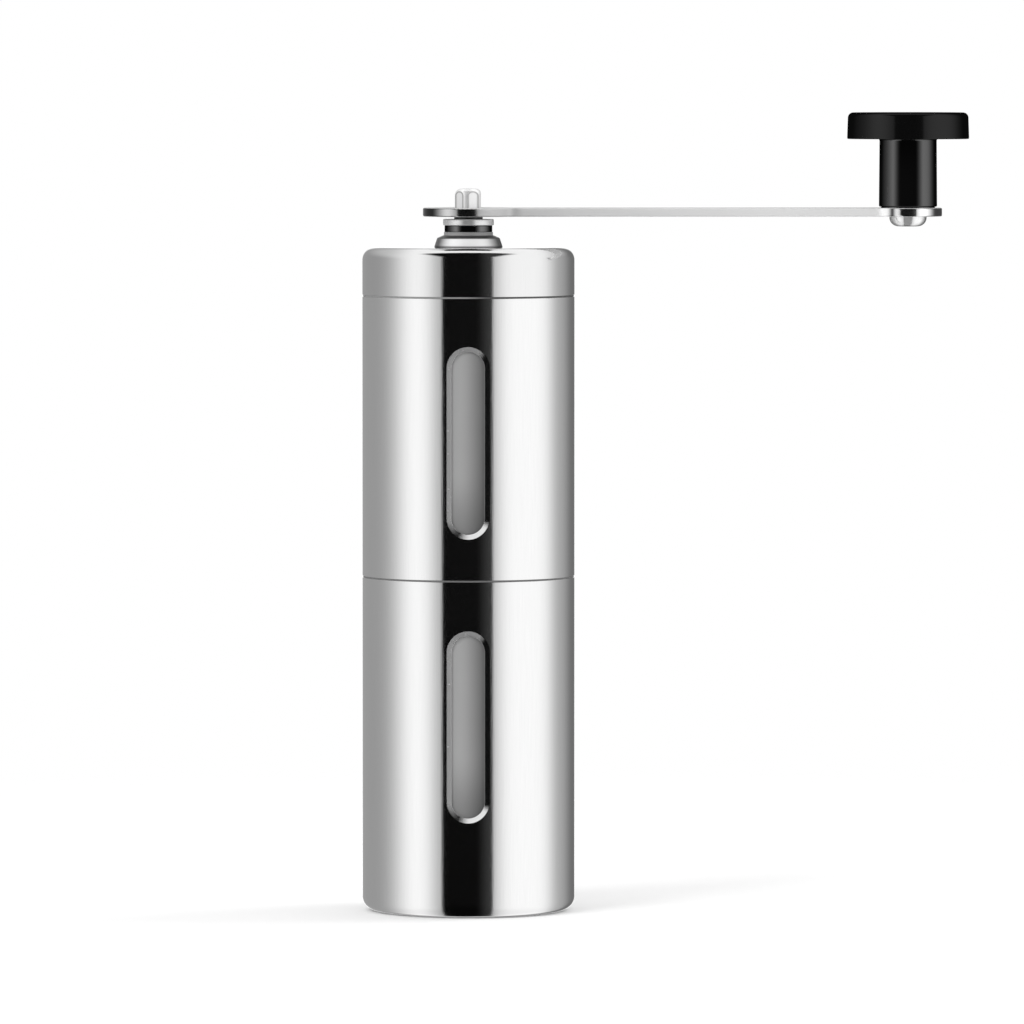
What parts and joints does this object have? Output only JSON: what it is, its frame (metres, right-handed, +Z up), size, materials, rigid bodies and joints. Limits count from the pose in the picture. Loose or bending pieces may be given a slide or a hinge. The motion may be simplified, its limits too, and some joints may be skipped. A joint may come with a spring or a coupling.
{
  "type": "hand crank coffee grinder",
  "caption": "Slim cylindrical hand grinder: a steel can and sleeve with window slots, a lift-off lid and crank turning a conical burr set with a click adjuster.",
  "frame": {"origin": "middle of the underside of the lower can, on the grinder's axis", "axes": "+Z up along the grinder's axis, +X along the crank arm as pictured, -Y out of the window slots"},
  "size_m": [0.1398, 0.049, 0.184],
  "materials": {
    "body_steel": "polished stainless, fine upright grain",
    "crank_steel": "satin stainless strip",
    "shaft_steel": "turned and milled steel",
    "collar_chrome": "bright plated",
    "fastener_steel": "plain steel",
    "bush_brass": "turned brass",
    "frosted_plastic": "frosted, lets light through",
    "black_plastic": "fine moulded texture",
    "black_nylon": "smooth bearing plastic",
    "knob_plastic": "gloss black",
    "burr_ceramic": "matt sintered"
  },
  "bodies": {
    "grounds_bin": {"lower_can": "body_steel", "grounds_cup": "frosted_plastic"},
    "upper_body": {"upper_sleeve": "body_steel", "hopper_liner": "frosted_plastic", "burr_carrier": "black_plastic", "shaft_bridge": "black_plastic", "bridge_screw_1": "fastener_steel", "bridge_screw_2": "fastener_steel", "bridge_screw_3": "fastener_steel", "bridge_bush": "bush_brass", "outer_burr": "burr_ceramic", "burr_retainer": "black_plastic", "clip_washer": "fastener_steel"},
    "lid": {"lid_shell": "body_steel", "lid_liner": "black_plastic", "lid_bush": "collar_chrome", "lid_nut": "fastener_steel", "bearing_ring": "black_nylon"},
    "crank_ring": {"thrust_ring": "collar_chrome"},
    "crank": {"crank_arm": "crank_steel", "knob_pin": "collar_chrome", "knob_thrust_washer": "black_nylon", "knob_lock_washer": "fastener_steel", "knob_screw": "fastener_steel"},
    "knob": {"knob_grip": "knob_plastic", "knob_cap": "knob_plastic"},
    "shaft": {"drive_shaft": "shaft_steel", "shaft_clip": "fastener_steel", "spring_washer": "fastener_steel", "burr_spring": "fastener_steel"},
    "burr": {"inner_burr": "burr_ceramic", "click_plate": "fastener_steel"},
    "adjuster": {"adjuster_dial": "black_plastic", "adjuster_nut": "bush_brass"}
  },
  "joints": [
    {"name": "body_lift", "type": "slide", "parent": "grounds_bin", "child": "upper_body", "axis": [0, 0, 1], "range_m": [0, 0.06]},
    {"name": "lid_lift", "type": "slide", "parent": "upper_body", "child": "lid", "axis": [0, 0, 1], "range_m": [0, 0.045]},
    {"name": "crank_spin", "type": "hinge", "parent": "lid", "child": "crank_ring", "pos_m": [0, 0, 0.1587], "axis": [0, 0, 1], "continuous": true},
    {"name": "crank_lift", "type": "slide", "parent": "crank_ring", "child": "crank", "axis": [0, 0, 1], "range_m": [0, 0.012]},
    {"name": "knob_spin", "type": "hinge", "parent": "crank", "child": "knob", "pos_m": [0.1013, 0, 0.17], "axis": [0, 0, 1], "continuous": true},
    {"name": "shaft_spin", "type": "hinge", "parent": "upper_body", "child": "shaft", "pos_m": [0, 0, 0.11], "axis": [0, 0, 1], "continuous": true},
    {"name": "burr_travel", "type": "slide", "parent": "shaft", "child": "burr", "axis": [0, 0, 1], "range_m": [-0.0011, 0.0004], "deforming": ["burr_spring"]},
    {"name": "adjuster_turn", "type": "hinge", "parent": "burr", "child": "adjuster", "pos_m": [0, 0, 0.0585], "axis": [0, 0, 1], "range_deg": [-400, 148]}
  ],
  "couplings": [
    {"joint": "shaft_spin", "follows": "crank_spin", "ratio": 1},
    {"joint": "adjuster_turn", "follows": "burr_travel", "rad_per_m": 6283.2}
  ]
}
